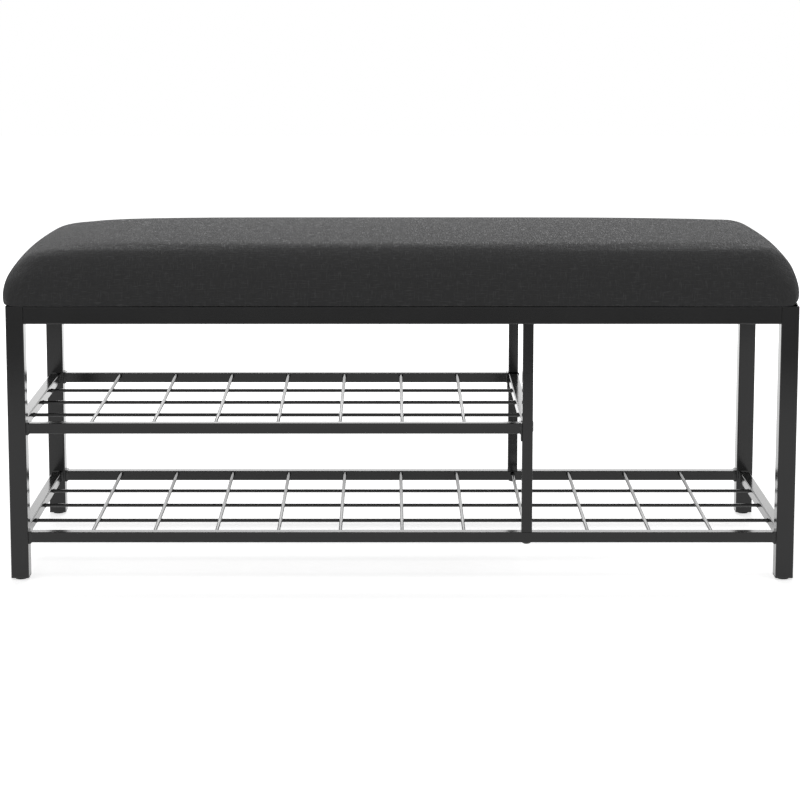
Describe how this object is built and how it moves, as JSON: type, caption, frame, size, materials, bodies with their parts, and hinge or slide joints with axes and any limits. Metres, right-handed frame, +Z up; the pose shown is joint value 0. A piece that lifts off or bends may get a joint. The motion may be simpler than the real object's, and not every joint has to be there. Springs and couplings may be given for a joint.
{
  "type": "entryway bench",
  "caption": "Long upholstered entryway bench on a black square-tube frame, with a short upper wire shelf, a full lower wire shelf, a divider and levelling feet.",
  "frame": {"origin": "on the floor under the middle of the bench", "axes": "+X along the length to the sitter's left, seen from the front to the right; +Y to the back; +Z up"},
  "size_m": [1.116, 0.416, 0.4675],
  "materials": {
    "black_paint": "glossy black powder coat on steel",
    "black_bolts": "black oxide steel",
    "zinc_steel": "bright zinc plate",
    "black_plastic": "moulded black plastic",
    "foot_plastic": "moulded black plastic on a steel stud",
    "seat_fabric": "charcoal linen-look polyester weave",
    "seat_foam": "open-cell polyurethane foam",
    "plywood": "raw plywood",
    "dust_cloth": "black non-woven dust cloth"
  },
  "bodies": {
    "frame": {"divider_bar": "black_paint", "divider_post_front": "black_paint", "divider_post_rear": "black_paint", "dust_cover": "dust_cloth", "leg_bolts": "black_bolts", "leg_front_left": "black_paint", "leg_front_right": "black_paint", "leg_plugs": "black_plastic", "leg_rear_left": "black_paint", "leg_rear_right": "black_paint", "lower_cross_wire_1": "black_paint", "lower_cross_wire_10": "black_paint", "lower_cross_wire_11": "black_paint", "lower_cross_wire_2": "black_paint", "lower_cross_wire_3": "black_paint", "lower_cross_wire_4": "black_paint", "lower_cross_wire_5": "black_paint", "lower_cross_wire_6": "black_paint", "lower_cross_wire_7": "black_paint", "lower_cross_wire_8": "black_paint", "lower_cross_wire_9": "black_paint", "lower_end_bar_left": "black_paint", "lower_end_bar_right": "black_paint", "lower_long_wire_1": "black_paint", "lower_long_wire_2": "black_paint", "lower_long_wire_3": "black_paint", "lower_shelf_rail_front": "black_paint", "lower_shelf_rail_rear": "black_paint", "post_bolts": "black_bolts", "post_nut_plates": "zinc_steel", "post_tabs": "black_paint", "rail_end_plates": "black_paint", "seat_board": "plywood", "seat_bolts": "black_bolts", "seat_cover": "seat_fabric", "seat_foam": "seat_foam", "tee_nuts": "zinc_steel", "top_end_rail_left": "black_paint", "top_end_rail_right": "black_paint", "top_rail_front": "black_paint", "top_rail_nut_plates": "zinc_steel", "top_rail_rear": "black_paint", "upper_cross_wire_1": "black_paint", "upper_cross_wire_2": "black_paint", "upper_cross_wire_3": "black_paint", "upper_cross_wire_4": "black_paint", "upper_cross_wire_5": "black_paint", "upper_cross_wire_6": "black_paint", "upper_cross_wire_7": "black_paint", "upper_end_bar_left": "black_paint", "upper_long_wire_1": "black_paint", "upper_long_wire_2": "black_paint", "upper_long_wire_3": "black_paint", "upper_shelf_rail_front": "black_paint", "upper_shelf_rail_rear": "black_paint"},
    "foot_front_left": {"levelling_foot_front_left": "foot_plastic"},
    "foot_front_right": {"levelling_foot_front_right": "foot_plastic"},
    "foot_rear_left": {"levelling_foot_rear_left": "foot_plastic"},
    "foot_rear_right": {"levelling_foot_rear_right": "foot_plastic"}
  },
  "joints": [
    {"name": "foot_front_left_slide", "type": "slide", "parent": "frame", "child": "foot_front_left", "axis": [0, 0, -1], "range_m": [0, 0.008]},
    {"name": "foot_front_right_slide", "type": "slide", "parent": "frame", "child": "foot_front_right", "axis": [0, 0, -1], "range_m": [0, 0.008]},
    {"name": "foot_rear_left_slide", "type": "slide", "parent": "frame", "child": "foot_rear_left", "axis": [0, 0, -1], "range_m": [0, 0.008]},
    {"name": "foot_rear_right_slide", "type": "slide", "parent": "frame", "child": "foot_rear_right", "axis": [0, 0, -1], "range_m": [0, 0.008]}
  ]
}
